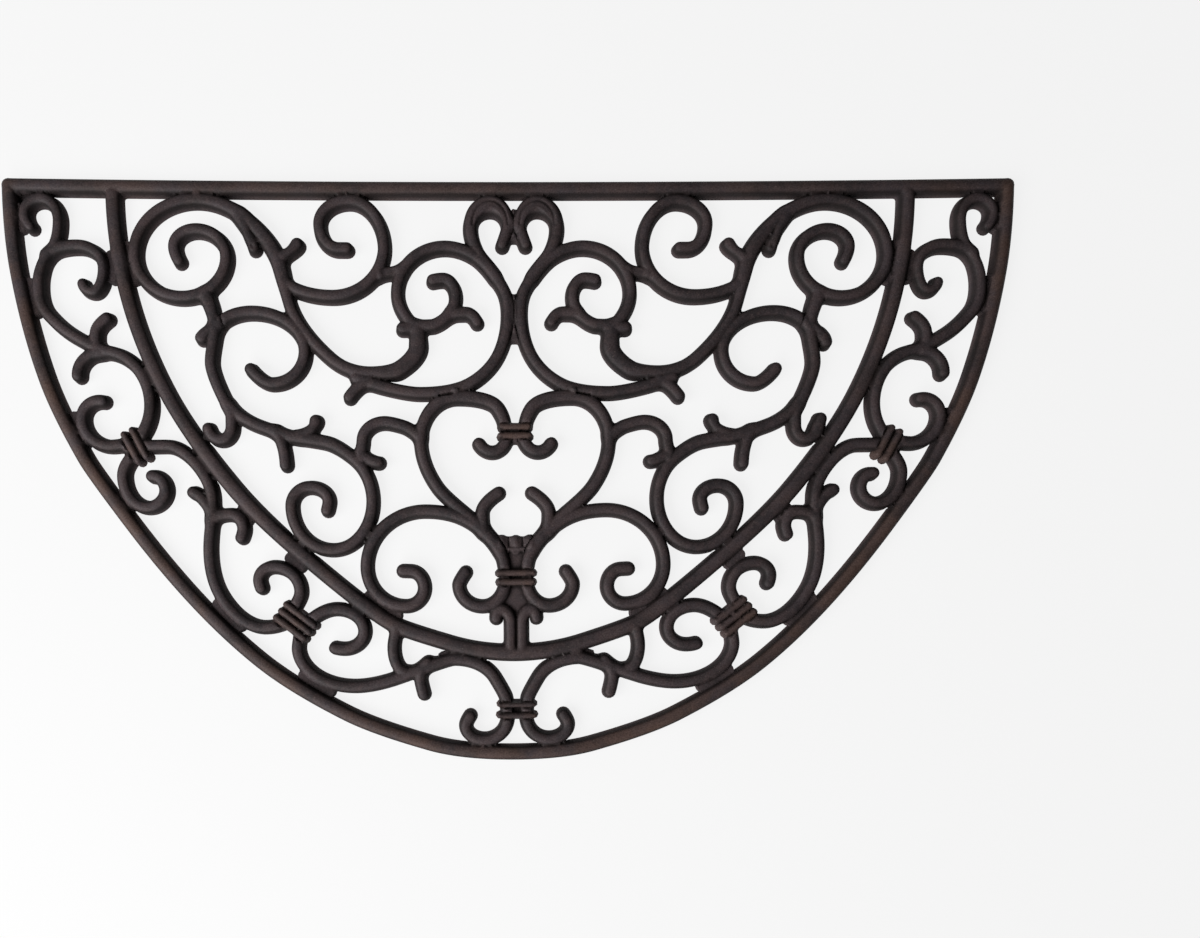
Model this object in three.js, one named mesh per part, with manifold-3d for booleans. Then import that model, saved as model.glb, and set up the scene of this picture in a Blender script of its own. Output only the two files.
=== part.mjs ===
// Half round rubber doormat with open scrollwork, moulded in one piece.
// Millimetres, +Z up, underside on z = 0, straight edge towards +Y.
import * as THREE from 'three';
import { mergeVertices } from 'three/addons/utils/BufferGeometryUtils.js';
import Module from 'manifold-3d';

// Section of a bar: a flat underside, sides that lean in, and a top as high as the crown's mean.
const BAR_HEIGHT = 9;
const BAR_LEAN = 1.2;
const RIM_WIDTH = 10.9;
const ARCH_WIDTH = 11.6;
const BAR_WIDTH = 9.8;
const RIM_BARS = ['top_bar', 'rim'];

// Webs, plates and collars.
const WEB_HEIGHT = 4.5;
const PLATE_HEIGHT = 7.6;
const LOW_PLATE_HEIGHT = 6;
const LOW_LEAN = 0.4;
const COLLAR_HEIGHT = 10;
const COLLAR_LEAN = 1;

// Pattern field: half width and depth of the mat, and the line the depth is measured from.
const HALF_WIDTH = 379.5;
const DEPTH = 436.5;
const ZERO_LINE = 218.6;

// The mat lies a little unevenly, as soft rubber does: these bend the mirror-image halves.
const TOP_BOW = 3;
const SIDE_SHIFT = 4.1;
const SWING = 3;
const LIFT = 0.0173;
const SAG = 2.6;
const SAG_CENTRE = [250, 190];
const SAG_REACH = [110, 120];
const RIM_PINCH = 1.1;

// Smoothness of the facets.
const CHORD_ERROR = 1.1;
const BORDER_CHORD_ERROR = 0.3;
const LONGEST_STEP = 90;
const WELD = 0.05;
const SHORTEST_EDGE = 0.03;
const CAP_TURNS = [-30, 30];

// A bar is a name, a width and stations in order along its centre line.
// Station columns: out from the centre line, down from the zero line, heading in degrees
// (0 outward, 90 down, 180 inward, 270 up) and, where it changes, width. The first station is
// buried in another bar, or on the centre line, where the bar runs on as its own mirror image.
// Top bar, curved rim and the arch inside it, from the centre line outward.
const BORDER_BARS = [
  ['top_bar', RIM_WIDTH, [[0, 6.8, 0], [371.8, 6.8, 0]]],
  ['rim', RIM_WIDTH, [[0, 429.6, 0], [60, 423.1, 344.2], [123, 400.5, 333], [187.3, 360.6, 321],
    [240, 310, 312], [281, 260, 307], [316.8, 210, 299.5], [345.6, 150, 289.5], [366.3, 70, 280],
    [371.8, 6.8, 271]]],
  ['arch', ARCH_WIDTH, [[0, 354.6, 0, 12.2], [48, 347.5, 343], [93, 331.5, 330], [146.5, 290, 319.5],
    [208.6, 230, 309.5, 12.4], [257.2, 160, 298], [287.5, 80, 283], [296, 12.5, 271]]],
];

// Crest on the centre line with the long sweep that runs up to it, and the rings beside it.
const CREST_BARS = [
  ['crest', BAR_WIDTH, [[118, 148, 165], [100, 154, 165], [70, 159.4, 180], [35, 153.2, 207],
    [14.5, 135, 237], [4.8, 99, 270], [7.2, 84, 290], [21.5, 62, 307], [32.4, 35, 270, 10.6],
    [17.5, 18.8, 180, 15], [4.3, 35, 90], [8.7, 48.3, 70]]],
  ['ring', BAR_WIDTH, [[73, 109, 180], [60, 108.5, 200], [43.6, 87, 270], [53, 74, 0], [60.5, 75, 15]]],
  ['ring_back', BAR_WIDTH, [[14, 72, 305], [51.5, 50, 0], [87, 84, 90], [74, 109, 140]]],
  ['stub_ring', BAR_WIDTH, [[47, 100, 190], [36, 99.5, 180], [27.8, 106.3, 115]]],
  ['bridge', 8.8, [[84, 67, 20], [100, 71, 20]]],
  ['bud_ring', BAR_WIDTH, [[74, 110, 0], [83.3, 111, 0]]],
  ['sweep_tendril', BAR_WIDTH, [[108, 150, 20], [122.8, 162.2, 55]]],
];

// Scrollwork that fills the field under the arch.
const FIELD_BARS = [
  ['c_scroll', BAR_WIDTH, [[167, 79, 150], [135, 86.8, 180], [96.5, 50, 270], [122, 15.7, 0],
    [144.2, 33, 90], [130, 51.3, 180], [124, 51.3, 180]]],
  ['volute', BAR_WIDTH, [[72, 112, 90, 12.6], [71.8, 124, 90, 14], [86, 141.5, 32, 13],
    [107, 144.2, 0, 10.4], [138, 132, 318], [167.5, 90, 285], [173.5, 65, 285, 12.4], [200, 28, 322, 11.6],
    [235, 15.7, 0], [280.2, 56, 90], [246, 87.8, 180], [213, 58, 270], [235, 37.7, 0],
    [251.2, 50.5, 90], [247.8, 61, 120]]],
  ['bud_volute', BAR_WIDTH, [[203, 27, 112, 12], [197.4, 40, 108, 8.6], [192.6, 51.2, 100, 9.8]]],
  ['stub_volute', BAR_WIDTH, [[172, 58, 190], [166.5, 54.3, 215, 8.8], [160.8, 48.4, 238, 10.4]]],
  ['second', BAR_WIDTH, [[228.5, 86, 115, 12], [222, 108, 95], [224.8, 136, 90], [217, 160, 115],
    [210, 175, 112], [209.8, 184, 90], [217.5, 193.6, 0], [227, 185.4, 285]]],
  ['second_arc', BAR_WIDTH, [[222, 112, 240], [194.5, 98.6, 180], [155.6, 128, 90], [179.5, 151.8, 0],
    [195.6, 141.2, 310]]],
  ['bud_second', BAR_WIDTH, [[220, 108, 30], [226, 112, 38, 8.8], [231.6, 118, 55, 10.4]]],
  ['spine', BAR_WIDTH, [[212, 168, 130], [190, 183.2, 160], [165, 191.6, 172, 10.4],
    [140, 195.8, 165, 10.4], [120, 208, 140], [106.3, 240, 90], [136, 276, 0], [166.2, 243, 270],
    [152.5, 229, 180], [138.7, 240, 90], [140, 246.5, 75]]],
  ['stub_spine_up', BAR_WIDTH, [[160, 191, 200], [149.5, 184.5, 240, 8.8], [147.7, 180, 262, 10.4]]],
  ['stub_spine_down', BAR_WIDTH, [[178, 187, 130], [170.2, 212.6, 92]]],
  ['crook', BAR_WIDTH, [[114.5, 209, 290], [113.3, 195, 270], [97, 181, 180], [83, 184, 162],
    [71, 192, 140]]],
  ['stub_crook', BAR_WIDTH, [[113, 207, 165], [101.5, 211, 180]]],
];

// Heart on the centre line, with the cup, the foot and the stem under it.
const HEART_BARS = [
  ['heart', BAR_WIDTH, [[8, 184, 270], [12.8, 170.8, 302, 10.8], [43, 162.3, 0, 10.8], [70.4, 195, 90],
    [58, 230, 125], [40, 247.5, 140], [20, 267.3, 129], [12, 278.5, 118], [8.6, 290, 97]]],
  ['collar_hook', BAR_WIDTH, [[6, 193, 80], [17, 203.6, 0], [27, 197.5, 300]]],
  ['lily', BAR_WIDTH, [[24, 264, 275], [24.8, 249, 268], [12.4, 234.4, 212]]],
  ['base', BAR_WIDTH, [[11.9, 278, 298], [21.5, 265.5, 316], [40, 253, 335], [68, 247.5, 0], [111, 289, 90],
    [82, 318.7, 180], [68.3, 305, 270], [79, 292.3, 0], [84.3, 292.1, 0]]],
  ['foot_hook', BAR_WIDTH, [[8, 300, 90], [25, 319.5, 0], [42.6, 303, 270], [37.5, 293.7, 235]]],
  ['stem', BAR_WIDTH, [[4.2, 352, 270], [4.2, 332, 270], [10, 322.5, 340], [15, 328.5, 90]]],
];

// Scrolls between the arch and the rim, from the corner down.
const CORNER_BARS = [
  ['corner', BAR_WIDTH, [[278, 192, 230], [269.5, 168, 270], [300, 128.5, 352], [325, 117, 330],
    [345, 100, 310], [351, 80, 270], [342.6, 54.5, 232], [335.4, 32, 270], [348.5, 16.3, 0],
    [360.8, 27, 90], [356.5, 37.3, 135, 9.2]]],
  ['corner_lobe', BAR_WIDTH, [[345, 57, 225], [322, 50.5, 180], [303.2, 67, 90, 8.8], [311, 84.3, 0, 8.8],
    [318.3, 78.6, 280, 8.8]]],
  ['corner_tendril', BAR_WIDTH, [[309, 128, 270], [309, 115, 266], [301, 104, 215]]],
  ['corner_hook', BAR_WIDTH, [[306, 129, 5], [322.3, 146.4, 93]]],
  ['border_hook', BAR_WIDTH, [[286, 196, 15], [299, 198, 0], [319.5, 178, 270], [304.5, 165, 170]]],
  ['border_curl', BAR_WIDTH, [[278, 201, 40], [289.7, 220, 90], [272, 243.5, 180], [258.8, 231, 270],
    [268.6, 220.4, 0]]],
  ['border_spine', BAR_WIDTH, [[286, 199, 185], [258, 198, 180], [236, 212, 130], [224.5, 237, 93],
    [226.8, 275, 90], [219, 309, 120], [187, 333.3, 180], [172, 330, 205]]],
  ['border_tendril', BAR_WIDTH, [[225, 247, 300], [238.5, 232.6, 340]]],
  ['border_crook', BAR_WIDTH, [[225, 253, 225], [212, 249, 180], [201.7, 260, 90], [203.3, 266.4, 70]]],
];

// Scrolls in the low part of the border, down to the centre line.
const LOW_BARS = [
  ['low_hook', BAR_WIDTH, [[166, 322, 255], [160, 307, 270], [180, 288.3, 0], [190.4, 298, 90],
    [189, 304, 110]]],
  ['low_curl', BAR_WIDTH, [[157, 332, 225], [134, 320.3, 180], [113, 337, 90], [128, 350.2, 0],
    [134.8, 349.3, 345]]],
  ['low_spine', BAR_WIDTH, [[161, 340, 80], [162.2, 350, 95], [120, 378.3, 180], [85, 371, 200],
    [47, 358.7, 180], [16.1, 373.4, 121], [8, 389, 95], [7.2, 405, 84], [24, 419.6, 0],
    [38.2, 409, 270], [34.8, 401.6, 235]]],
  ['low_link', BAR_WIDTH, [[83, 368, 340], [91.4, 350, 270], [89, 336, 255]]],
  ['low_tendril', BAR_WIDTH, [[66, 361, 40], [71.5, 374, 90], [69.2, 384.8, 105]]],
];

// Where two scrolls of the right half reach further than those of the left.
const RIGHT_BARS = [
  ['second_reach', BAR_WIDTH, [[226, 188, 287], [229.2, 178.6, 288]]],
  ['bud_reach', BAR_WIDTH, [[229, 116, 55], [233.6, 121.6, 50]]],
];

// Low flat webs that join bars lying side by side.
const WEBS = [
  ['web_rim_a', 9, [[358.5, 78, 98], [354, 98, 105]]],
  ['web_arch_a', 8, [[298.5, 57, 93], [296.7, 73.6, 97]]],
  ['web_arch_b', 8, [[286.5, 50, 95], [281.6, 74, 105]]],
  ['web_corner', 7, [[366, 22, 92], [364, 37, 92]]],
  ['web_rim_b', 8, [[326, 176, 110], [319, 195, 118]]],
  ['web_rim_c', 9, [[292.3, 236, 125], [287, 242, 125]]],
  ['web_rim_d', 10, [[221, 316, 133], [206, 331.5, 135]]],
  ['web_rim_e', 9, [[158.5, 369.8, 148], [139.6, 381.9, 150]]],
  ['web_arch_c', 9, [[109.5, 311.5, 143], [89.6, 325.5, 143]]],
  ['web_arch_d', 9, [[167.8, 282, 137], [160.5, 288.3, 139]]],
  ['web_arch_e', 8, [[204, 247, 130], [199, 252.8, 130]]],
  ['web_arch_f', 5, [[46, 353.4, 5], [58, 355.5, 17]]],
];

// Ribs of the collars that tie bars together.
// Columns: name, centre out, centre down, heading, length, width.
const COLLAR_RIBS = [
  ['heart_rib_a', 0, 185.2, 0, 25.5, 5.4],
  ['heart_rib_b', 0, 191.8, 0, 27, 5.6],
  ['foot_rib_a', 0, 294.6, 0, 31, 5.4],
  ['foot_rib_b', 0, 301.4, 0, 30.5, 5.6],
  ['bottom_rib_a', 0, 393.2, 0, 30, 4.6],
  ['bottom_rib_b', 0, 401.4, 0, 31, 5],
  ['border_rib_a', 277, 196.5, 118, 28, 6.2],
  ['border_rib_b', 283, 199.8, 118, 28, 6.2],
  ['low_rib_a', 159.7, 324.4, 322, 32, 6.2],
  ['low_rib_b', 163.5, 329.2, 322, 32, 6.2],
  ['low_rib_c', 167.3, 334, 322, 32, 6.2],
];

// Flat plates on the centre line, as rows of depth and half width.
// Columns: name, height, rows of [down, half width].
const PLATES = [
  ['crest_link', PLATE_HEIGHT, [[21.5, 1.2], [27, 2.6], [36, 5], [45.5, 6]]],
  ['crest_knot', PLATE_HEIGHT, [[85.5, 1.8], [103, 3], [121, 3.4]]],
  ['heart_link', PLATE_HEIGHT, [[182, 10], [197, 10]]],
  ['cup', PLATE_HEIGHT, [[267.4, 19], [274, 15.5], [278.6, 12.8]]],
  ['cup_foot', LOW_PLATE_HEIGHT, [[278, 13], [286, 10], [300, 8.5]]],
  ['foot_plate', LOW_PLATE_HEIGHT, [[299, 8.5], [306, 10], [314, 12], [321, 9], [325, 5]]],
  ['bottom_link', LOW_PLATE_HEIGHT, [[390.6, 8], [404.2, 8]]],
];

// Petals that scallop the top edge of the cup: [out, down, heading, width].
const CUP_PETALS = [
  ['petal_mid', 8, [[0, 271, 90, 9.5], [0, 277, 90, 8]]],
  ['petal_side', 8, [[10.4, 271, 97, 10], [8.4, 277, 100, 8]]],
];

const wasm = await Module();
wasm.setup();

const radians = (degrees) => (degrees * Math.PI) / 180;
const heading = (degrees) => new THREE.Vector2(Math.cos(radians(degrees)), Math.sin(radians(degrees)));

// Where a point of the even pattern lies on the real mat. The rim keeps its own line.
function laid(out, down, onRim) {
  const inner = onRim ? 0 : 1;
  const fall = 1 - (out / HALF_WIDTH) ** 2;
  const depth = down / DEPTH;
  const right = Math.max(out, 0) / HALF_WIDTH;
  const near = ((out - SAG_CENTRE[0]) / SAG_REACH[0]) ** 2 + ((down - SAG_CENTRE[1]) / SAG_REACH[1]) ** 2;
  const pinch = onRim ? RIM_PINCH * Math.sin(Math.PI * depth) * right ** 2 : 0;
  const x = out + inner * SIDE_SHIFT * fall + SWING * depth - pinch;
  const sag = inner * (SAG * Math.exp(-near) - out * depth * LIFT);
  const y = ZERO_LINE - (down + TOP_BOW * fall * (1 - depth) + sag);
  return [x, y];
}

// Cubic between two stations, its handles set so that an even turn follows a circle.
function stretch(from, to) {
  const start = new THREE.Vector2(from[0], from[1]);
  const end = new THREE.Vector2(to[0], to[1]);
  const leave = heading(from[2]);
  const arrive = heading(to[2]);
  const chord = end.clone().sub(start);
  const length = chord.length();
  const turn = ((((to[2] - from[2] + 180) % 360) + 360) % 360) - 180;
  let first = length / 3;
  let second = length / 3;
  if (Math.abs(Math.sin(radians(turn))) > 0.05) {
    const cross = leave.x * arrive.y - leave.y * arrive.x;
    const ahead = (chord.x * arrive.y - chord.y * arrive.x) / cross;
    const back = (leave.x * chord.y - leave.y * chord.x) / cross;
    if (ahead > 0 && back > 0 && Math.max(ahead, back) < 3 * length) {
      const half = radians(Math.abs(turn)) / 2;
      const share = ((4 / 3) * Math.tan(half / 2)) / Math.tan(half);
      first = share * ahead;
      second = share * back;
    }
  }
  return new THREE.CubicBezierCurve(
    start,
    start.clone().addScaledVector(leave, first),
    end.clone().addScaledVector(arrive, -second),
    end,
  );
}

// Points of a bar's centre line with direction and half width, closer where it turns tighter.
function centreLine(stations, width, error = CHORD_ERROR) {
  const line = [];
  for (let i = 0; i + 1 < stations.length; i += 1) {
    const curve = stretch(stations[i], stations[i + 1]);
    const length = curve.getLength();
    const startWidth = stations[i][3] ?? width;
    const endWidth = stations[i + 1][3] ?? width;
    let turned = 0;
    for (let k = 0; k < 24; k += 1) {
      turned += Math.abs(curve.getTangent(k / 24).angleTo(curve.getTangent((k + 1) / 24)));
    }
    const reach = length / Math.max(turned, 0.01) + Math.max(startWidth, endWidth) / 2;
    const widest = 2 * Math.acos(Math.max(0.5, 1 - error / reach));
    const steps = Math.max(1, Math.round(turned / widest + 0.1), Math.ceil(length / LONGEST_STEP));
    for (let k = i === 0 ? 0 : 1; k <= steps; k += 1) {
      const t = k / steps;
      const ease = t * t * (3 - 2 * t);
      line.push({
        point: curve.getPoint(t),
        along: curve.getTangent(t),
        half: (startWidth + (endWidth - startWidth) * ease) / 2,
      });
    }
  }
  return line;
}

// The same stations mirrored, for a bar that crosses the centre line.
function across(stations) {
  const far = stations.slice(1).reverse().map(([out, down, turn, width]) => [-out, down, 360 - turn, width]);
  return [...far, ...stations];
}

// Closed outline of a bar, its left side out and its right side back, an end square or round.
function outline(line, lean, roundStart) {
  const left = [];
  const right = [];
  for (const { point, along, half } of line) {
    const reach = half - lean;
    left.push([point.x - along.y * reach, point.y + along.x * reach]);
    right.push([point.x + along.y * reach, point.y - along.x * reach]);
  }
  const cap = (node, sign) => {
    const base = Math.atan2(node.along.y * sign, node.along.x * sign);
    const reach = node.half - lean;
    return CAP_TURNS.map((turn) => {
      const angle = base - radians(turn);
      return [node.point.x + reach * Math.cos(angle), node.point.y + reach * Math.sin(angle)];
    });
  };
  const start = roundStart ? cap(line[0], -1) : [];
  return [...left, ...cap(line[line.length - 1], 1), ...right.reverse(), ...start];
}

// Solid between a bar's outline on the floor and its narrower outline at its height.
function barSolid(line, height, lean, side, { onRim = false, roundStart = false } = {}) {
  const rings = [[0, 0], [height, lean]].map(([z, inset]) =>
    outline(line, inset, roundStart).map(([out, down]) => [...laid(side * out, down, onRim), z]));
  const count = rings[0].length;
  const length = line.length;
  const faces = [];
  for (let i = 0; i < count; i += 1) {
    const next = (i + 1) % count;
    faces.push([next, i, count + i], [next, count + i, count + next]);
  }
  const other = (i) => 2 * length - 1 + CAP_TURNS.length - i;
  const flat = [];
  for (let i = 0; i + 1 < length; i += 1) {
    flat.push([i, i + 1, other(i + 1)], [i, other(i + 1), other(i)]);
  }
  for (let i = length; i < other(length - 1); i += 1) {
    flat.push([length - 1, i, i + 1]);
  }
  for (let i = other(0) + 1; i < count; i += 1) {
    flat.push([other(0), i, (i + 1) % count]);
  }
  for (const [a, b, c] of flat) {
    faces.push([a, b, c], [count + a, count + c, count + b]);
  }
  return closed(rings.flat(), faces, side < 0);
}

// Solid from points and triangles, turned inside out where the half is mirrored.
function closed(points, faces, mirrored) {
  const flipped = faces.map(([a, b, c]) => (mirrored ? [a, b, c] : [a, c, b]));
  return new wasm.Manifold(new wasm.Mesh({
    numProp: 3,
    tolerance: WELD,
    vertProperties: new Float32Array(points.flat()),
    triVerts: new Uint32Array(flipped.flat()),
  }));
}

// Plate across the centre line, extruded upward from its outline.
function plateSolid(rows, height) {
  const near = rows.map(([down, half]) => [half, down]);
  const far = rows.map(([down, half]) => [-half, down]).reverse();
  const shape = new THREE.Shape([...near, ...far].map(([out, down]) => new THREE.Vector2(...laid(out, down, false))));
  const geometry = new THREE.ExtrudeGeometry(shape, { depth: height, bevelEnabled: false });
  geometry.deleteAttribute('normal');
  geometry.deleteAttribute('uv');
  const merged = mergeVertices(geometry, 1e-4);
  return new wasm.Manifold(new wasm.Mesh({
    numProp: 3,
    tolerance: WELD,
    vertProperties: Float32Array.from(merged.attributes.position.array),
    triVerts: Uint32Array.from(merged.index.array),
  }));
}

let mat = null;
const join = (solid) => {
  mat = mat ? mat.add(solid) : solid;
};

for (const bars of [BORDER_BARS, CREST_BARS, FIELD_BARS, HEART_BARS, CORNER_BARS, LOW_BARS]) {
  for (const [name, width, stations] of bars) {
    if (stations[0][0] === 0) {
      const whole = { onRim: RIM_BARS.includes(name), roundStart: true };
      const line = centreLine(across(stations), width, BORDER_CHORD_ERROR);
      join(barSolid(line, BAR_HEIGHT, BAR_LEAN, 1, whole));
    } else {
      for (const side of [-1, 1]) {
        join(barSolid(centreLine(stations, width), BAR_HEIGHT, BAR_LEAN, side));
      }
    }
  }
}
for (const [, width, stations] of RIGHT_BARS) {
  join(barSolid(centreLine(stations, width), BAR_HEIGHT, BAR_LEAN, 1));
}
for (const side of [-1, 1]) {
  for (const [, width, stations] of WEBS) {
    join(barSolid(centreLine(stations, width), WEB_HEIGHT, LOW_LEAN, side, { roundStart: true }));
  }
  for (const [, width, stations] of CUP_PETALS) {
    join(barSolid(centreLine(stations, width), PLATE_HEIGHT, LOW_LEAN, side, { roundStart: true }));
  }
  for (const [, out, down, turn, length, width] of COLLAR_RIBS) {
    const reach = heading(turn).multiplyScalar((length - width) / 2);
    const ends = [[out - reach.x, down - reach.y, turn], [out + reach.x, down + reach.y, turn]];
    if (out !== 0 || side > 0) {
      join(barSolid(centreLine(ends, width), COLLAR_HEIGHT, COLLAR_LEAN, side, { roundStart: true }));
    }
  }
}
for (const [, height, rows] of PLATES) {
  join(plateSolid(rows, height));
}

// Triangles with the ends of very short edges made one point, and without those that vanish.
function tidied({ vertProperties, triVerts, numProp }) {
  const point = (i) => new THREE.Vector3(...vertProperties.subarray(numProp * i, numProp * i + 3));
  const stands = Array.from({ length: vertProperties.length / numProp }, (_, i) => i);
  const root = (i) => {
    while (stands[i] !== i) {
      i = stands[i];
    }
    return i;
  };
  for (let i = 0; i < triVerts.length; i += 1) {
    const from = triVerts[i];
    const to = triVerts[i % 3 === 2 ? i - 2 : i + 1];
    if (point(from).distanceTo(point(to)) < SHORTEST_EDGE) {
      stands[root(Math.max(from, to))] = root(Math.min(from, to));
    }
  }
  const kept = [];
  for (let i = 0; i < triVerts.length; i += 3) {
    const corners = [root(triVerts[i]), root(triVerts[i + 1]), root(triVerts[i + 2])];
    if (new Set(corners).size === 3) {
      kept.push(...corners);
    }
  }
  const positions = kept.flatMap((i) => point(i).toArray());
  const loose = new THREE.BufferGeometry();
  loose.setAttribute('position', new THREE.Float32BufferAttribute(positions, 3));
  return mergeVertices(loose, 1e-5);
}

// Back to a three.js mesh, with its box centred over the origin.
const geometry = tidied(mat.getMesh());
geometry.computeBoundingBox();
const centre = geometry.boundingBox.getCenter(new THREE.Vector3());
geometry.translate(-centre.x, -centre.y, 0);
geometry.computeVertexNormals();

const rubber = new THREE.MeshStandardMaterial({ color: '#655a5a', roughness: 0.55, metalness: 0 });
const mesh = new THREE.Mesh(geometry, rubber);
mesh.name = 'mat';

const doormat = new THREE.Group();
doormat.add(mesh);

export default doormat;
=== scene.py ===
"""Looks of the half round rubber doormat: one moulded sheet of scrollwork, seen from above.

The mat's surface is built from depth fields. Every bar is a centre line with a half width, and its
depth at a point is half width minus distance to the line. Depths join with a small fillet, the
outline is where the joined depth is zero, and the height follows the depth over a rounded crown.
"""
import math

import bpy
import mathutils
import numpy as np
from mathutils.geometry import delaunay_2d_cdt
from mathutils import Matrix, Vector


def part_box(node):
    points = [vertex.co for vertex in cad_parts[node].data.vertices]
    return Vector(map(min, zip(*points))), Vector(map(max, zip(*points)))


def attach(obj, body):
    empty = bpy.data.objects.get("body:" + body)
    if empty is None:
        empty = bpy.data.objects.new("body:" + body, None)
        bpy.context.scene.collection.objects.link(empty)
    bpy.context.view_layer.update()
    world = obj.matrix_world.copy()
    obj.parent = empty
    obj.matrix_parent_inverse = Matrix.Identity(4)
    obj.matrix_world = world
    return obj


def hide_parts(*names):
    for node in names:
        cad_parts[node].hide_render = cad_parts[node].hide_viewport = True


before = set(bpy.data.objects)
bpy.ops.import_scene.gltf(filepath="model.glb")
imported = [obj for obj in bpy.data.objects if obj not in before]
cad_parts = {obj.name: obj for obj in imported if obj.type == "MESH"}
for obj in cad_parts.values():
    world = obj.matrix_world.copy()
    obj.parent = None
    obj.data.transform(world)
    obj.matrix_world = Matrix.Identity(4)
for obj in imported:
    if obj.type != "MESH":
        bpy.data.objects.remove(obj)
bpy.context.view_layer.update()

# Millimetres. Sections of the bars, webs, plates and collars. A wall leans in by the draft up to
# the shoulder and flares out at its foot, and a crown rises from the wall's height. The apron is
# the strip beside a collar rib where the bars are cut down to the collar's wall.
RIM_WIDTH = 10.9
ARCH_WIDTH = 11.6
BAR_WIDTH = 9.8
RIM_BARS = ["top_bar", "rim"]
WALL_HEIGHT = 6.5
CROWN_RISE = 3.0
CROWN_POWER = 0.6
DRAFT = 0.4
FLARE = 0.65
FILLET = 3.4
CORNER_FILLET = 0.6
CREASE = 0.1
WEB_HEIGHT = 5.5
PIT_HEIGHT = 2
PLATE_HEIGHT = 7.6
LOW_PLATE_HEIGHT = 6
RAMP = 0.8
LOW_FILLET = 1.6
COLLAR_WALL = 8
COLLAR_RISE = 2.2
RIB_FILLET = 0.8
APRON_START = 1
APRON_WIDTH = 0.7

# How brown the top bar, the rim, the arch, the collars and all the rest are rubbed.
BORDER_BRONZE = [0.25, 0.5, 0.1]
COLLAR_BRONZE = 0.45
LEAST_BRONZE = 0.13

# Pattern field and how the soft mat lies, as in the part's source: the straight edge bows, the
# scrollwork shifts to the right near it, the right half lifts outward and sags in one place, and
# the rim is pinched in on the right.
HALF_WIDTH = 379.5
DEPTH = 436.5
ZERO_LINE = 218.6
TOP_BOW = 3
SIDE_SHIFT = 4.1
SWING = 3
LIFT = 0.0173
SAG = 2.6
SAG_CENTRE = [250, 190]
SAG_REACH = [110, 120]
RIM_PINCH = 1.1

# Sampling of the fields: the cell, the depth far outside, how far outside a bar its depth is worked
# out, and the steps along a centre line.
CELL = 0.5
FAR_OUTSIDE = -9
REACH = 3.5
LINE_STEP = 1.5
LINE_PART = 12

# Points of the surface: rings along the outline, the ribs and the bars' shoulders, a fine grid on
# creases, ribs and folds, a coarse one elsewhere, and the least gap between two points.
OUTLINE_STEP = 1.8
RING_DEPTHS = [0.85, 1.5, 2.4]
RIB_DEPTHS = [0.05, 0.7, 1.6]
RIB_STEP = 1.1
RIB_CLEARANCE = 0.9
SHOULDER_STEP = 1.2
SHOULDER_CLEARANCE = 0.8
DETAIL_STEP = 0.75
DETAIL_DEPTH = 1
INNER_STEP = 1.35
INNER_DEPTH = 3.0
NEAREST = 0.2
SHORTEST_LOOP = 4
FOOT_STEPS = 4
SHARP_ANGLE = 40

# Painted shade: spread and depth of a full hollow's painted darkening, and how far in the painted dark flank
# reaches.
HOLLOW_SHADE_SPREAD = 1.8
HOLLOW_SHADE_DEPTH = 0.8
WEB_HOLLOW_SHADE = 0.3
FLANK_SHADE_WIDTH = 2.8
WEB_FLANK_SHADE = 0.35

# Patterns of the rubber: size in millimetres and octaves of detail. Patches and blotches are the
# uneven mix of recycled rubber, streaks the rubbed brown, grains and specks its crumb, and grit and
# lumps the skin left by the mould. Grains, specks and grit are coarser than the real ones, to show.
PATTERNS = {
    "patches": [30, 2],
    "blotches": [5, 4],
    "streaks": [32, 5],
    "grains": [1, 2],
    "specks": [1.1, 2],
    "grit": [0.9, 3],
    "lumps": [4, 2],
}

# Studio light. Metres and watts: name, place, size, power.
FLOOR_GLOW = 0.85
FLOOR_REACH = 12
SKY = 0.01
LIGHTS = [
    ["left", (-1.45, -0.45, 1.1), 1.1, 28],
    ["lower", (-0.6, -1.05, 0.75), 0.8, 11],
    ["upper", (-0.2, 1.1, 0.8), 0.8, 1],
]

# Camera: its place over the pattern in millimetres, its lens, and the shift of its frame.
EYE = [3.0, -97.9, 643]
LENS = 25.65
FRAME_SHIFT = [0.0734, 0.1099]

# A bar is a name, a width and stations in order along its centre line.
# Station columns: out from the centre line, down from the zero line, heading in degrees
# (0 outward, 90 down, 180 inward, 270 up) and, where it changes, width. The first station is
# buried in another bar, or on the centre line, where the bar runs on as its own mirror image.
# Top bar, curved rim and the arch inside it, from the centre line outward.
BORDER_BARS = [
    ["top_bar", RIM_WIDTH, [[0, 6.8, 0], [371.8, 6.8, 0]]],
    ["rim", RIM_WIDTH, [[0, 429.6, 0], [60, 423.1, 344.2], [123, 400.5, 333], [187.3, 360.6, 321],
      [240, 310, 312], [281, 260, 307], [316.8, 210, 299.5], [345.6, 150, 289.5], [366.3, 70, 280],
      [371.8, 6.8, 271]]],
    ["arch", ARCH_WIDTH, [[0, 354.6, 0, 12.2], [48, 347.5, 343], [93, 331.5, 330], [146.5, 290, 319.5],
      [208.6, 230, 309.5, 12.4], [257.2, 160, 298], [287.5, 80, 283], [296, 12.5, 271]]],
]

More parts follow.
